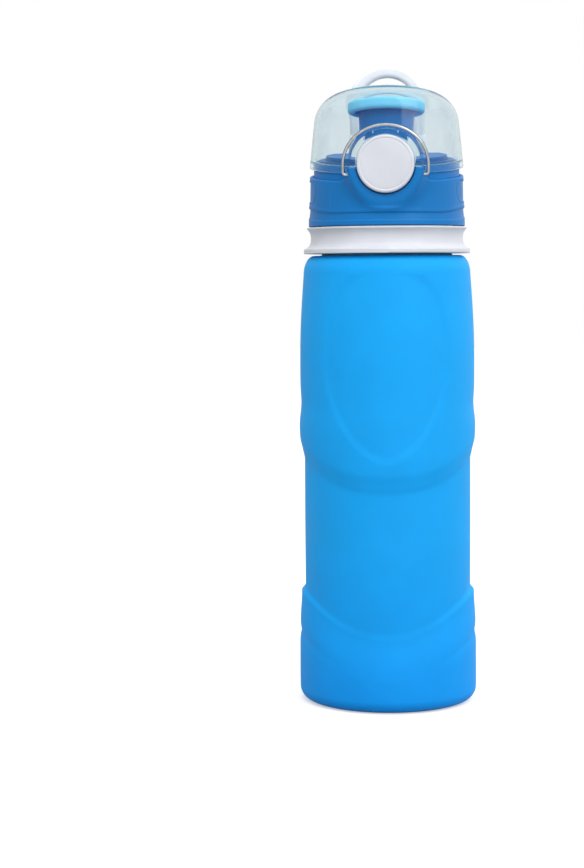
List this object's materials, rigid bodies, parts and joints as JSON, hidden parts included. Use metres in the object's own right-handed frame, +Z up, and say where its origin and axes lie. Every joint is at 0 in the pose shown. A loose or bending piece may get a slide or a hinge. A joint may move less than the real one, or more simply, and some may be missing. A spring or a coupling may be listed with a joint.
{
  "type": "folding water bottle",
  "caption": "Roll-up silicone drinking bottle with a screw cap, sprung clear flip cover, push button with wire lock bail, oval spout and rear carry loop.",
  "frame": {"origin": "centre of the flask's base, on the floor", "axes": "+Z up along the bottle, -Y towards the push button (front), +X to the right when the button is faced"},
  "size_m": [0.0754, 0.0797, 0.2722],
  "materials": {
    "silicone_blue": "satin silicone",
    "silicone_light": "translucent satin silicone",
    "plastic_blue": "satin",
    "plastic_white": "satin gloss",
    "clear_plastic": "clear, faint green-blue tint",
    "steel": "drawn stainless wire"
  },
  "bodies": {
    "flask_unit": {"flask": "silicone_blue", "roll_band": "silicone_light", "neck_sleeve": "plastic_white", "collar_ring": "plastic_white"},
    "gasket": {"cap_gasket": "silicone_light"},
    "cap": {"cap_core": "plastic_blue", "cap_shell": "plastic_blue", "deck_trim": "plastic_blue", "hinge_pin": "steel", "hinge_washers": "plastic_white", "hinge_spring": "steel", "button_spring": "steel", "vent_spring": "steel"},
    "cover": {"flip_cover": "clear_plastic", "spout_seal": "silicone_light"},
    "loop": {"carry_handle": "plastic_white"},
    "push_button": {"button": "plastic_white", "latch_slider": "plastic_white"},
    "bail": {"lock_bail": "steel"},
    "vent": {"vent_stem": "plastic_white", "vent_seal": "silicone_light"}
  },
  "joints": [
    {"name": "cap_lift", "type": "slide", "parent": "flask_unit", "child": "gasket", "axis": [0, 0, 1], "range_m": [0, 0.0101]},
    {"name": "cap_unscrew", "type": "hinge", "parent": "gasket", "child": "cap", "pos_m": [0, 0, 0.2154], "axis": [0, 0, 1], "range_deg": [0, 720]},
    {"name": "cover_open", "type": "hinge", "parent": "cap", "child": "cover", "pos_m": [0, 0.0365, 0.237], "axis": [-1, 0, 0], "range_deg": [0, 110], "deforming": ["hinge_spring"]},
    {"name": "loop_swing", "type": "hinge", "parent": "cover", "child": "loop", "pos_m": [0, 0.0365, 0.237], "axis": [1, 0, 0], "range_deg": [-170, 10]},
    {"name": "button_press", "type": "slide", "parent": "cap", "child": "push_button", "axis": [0, 1, 0], "range_m": [0, 0.0016], "stiffness_N_per_m": 900, "springref_m": -0.0008, "deforming": ["button_spring"]},
    {"name": "bail_swing", "type": "hinge", "parent": "cap", "child": "bail", "pos_m": [0, -0.0312, 0.2218], "axis": [1, 0, 0], "range_deg": [-8, 150]},
    {"name": "vent_rise", "type": "slide", "parent": "cap", "child": "vent", "axis": [0, 0, 1], "range_m": [0, 0.00121], "deforming": ["vent_spring"]}
  ],
  "couplings": [
    {"joint": "cap_lift", "follows": "cap_unscrew", "m_per_rad": 0.00079577},
    {"joint": "vent_rise", "follows": "cover_open", "m_per_rad": 0.000625}
  ]
}
